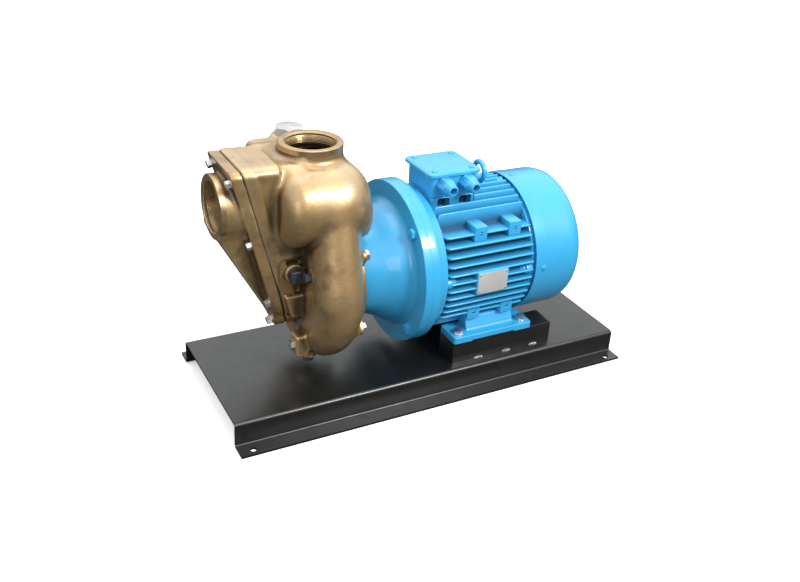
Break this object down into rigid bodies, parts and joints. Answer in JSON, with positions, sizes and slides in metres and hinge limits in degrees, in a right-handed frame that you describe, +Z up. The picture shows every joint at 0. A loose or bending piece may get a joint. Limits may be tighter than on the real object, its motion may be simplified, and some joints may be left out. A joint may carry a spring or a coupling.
{
  "type": "marine transfer pump",
  "caption": "Self-priming centrifugal transfer pump with a flap valve, close-coupled through a conical lantern to a finned motor on a folded base plate.",
  "frame": {"origin": "centre of the base plate's footprint, on the floor", "axes": "+X along the shaft from the suction port towards the motor's fan, +Z up, -Y the side that carries the cable glands"},
  "size_m": [0.785, 0.348, 0.47],
  "materials": {
    "bronze": "satin cast",
    "blue_paint": "gloss",
    "black_paint": "semi-gloss",
    "zinc": "bright zinc",
    "dark_steel": "dark oiled",
    "steel": "ground",
    "gasket": "matt",
    "plug_plastic": "matt",
    "graphite": "lapped",
    "ceramic": "lapped",
    "lamination": "dull",
    "copper": "varnished",
    "fan_plastic": "matt",
    "nameplate": "satin"
  },
  "bodies": {
    "pump_set": {"back_cover": "bronze", "back_cover_bolts": "zinc", "base_plate": "black_paint", "bearing_outer_rings": "steel", "bearing_wave_spring": "steel", "cover_bolts": "zinc", "cover_gasket": "gasket", "drain_plug": "dark_steel", "drive_endshield": "blue_paint", "endshield_nuts": "blue_paint", "fan_cover": "blue_paint", "fan_cover_screws": "blue_paint", "flange_bolts": "blue_paint", "flap_hinge_pin": "steel", "foot_bolts": "zinc", "foot_washers": "zinc", "gland_bodies": "blue_paint", "gland_nuts": "blue_paint", "lantern_bracket": "blue_paint", "lantern_screws": "dark_steel", "lid_gasket": "gasket", "lid_screws": "blue_paint", "lifting_eye": "blue_paint", "lug_bolt": "zinc", "motor_foot_left": "blue_paint", "motor_foot_right": "blue_paint", "motor_frame": "blue_paint", "plate_rivets": "blue_paint", "priming_plug": "plug_plastic", "pump_casing": "bronze", "rating_plate": "nameplate", "rear_endshield": "blue_paint", "riser_block_left": "black_paint", "riser_block_right": "black_paint", "seal_seat": "ceramic", "shaft_oil_seal": "gasket", "side_plug": "dark_steel", "stator_core": "lamination", "stator_windings": "copper", "suction_cover": "bronze", "terminal_board": "fan_plastic", "terminal_box": "blue_paint", "terminal_lid": "blue_paint", "vent_plug": "dark_steel", "wear_plate": "bronze", "weld_beads": "black_paint"},
    "rotor": {"motor_shaft": "steel", "pump_shaft": "steel", "impeller": "bronze", "impeller_nut": "steel", "seal_rotary": "graphite", "slinger": "gasket", "rotor_core": "lamination", "bearing_inner_rings": "steel", "bearing_balls": "steel", "cooling_fan": "fan_plastic", "shaft_key": "steel"},
    "flap": {"flap_valve": "bronze"}
  },
  "joints": [
    {"name": "rotor_spin", "type": "hinge", "parent": "pump_set", "child": "rotor", "pos_m": [0, 0, 0.221], "axis": [1, 0, 0], "continuous": true},
    {"name": "flap_swing", "type": "hinge", "parent": "pump_set", "child": "flap", "pos_m": [-0.32912, 0, 0.42701], "axis": [0, -1, 0], "range_deg": [0, 25]}
  ]
}
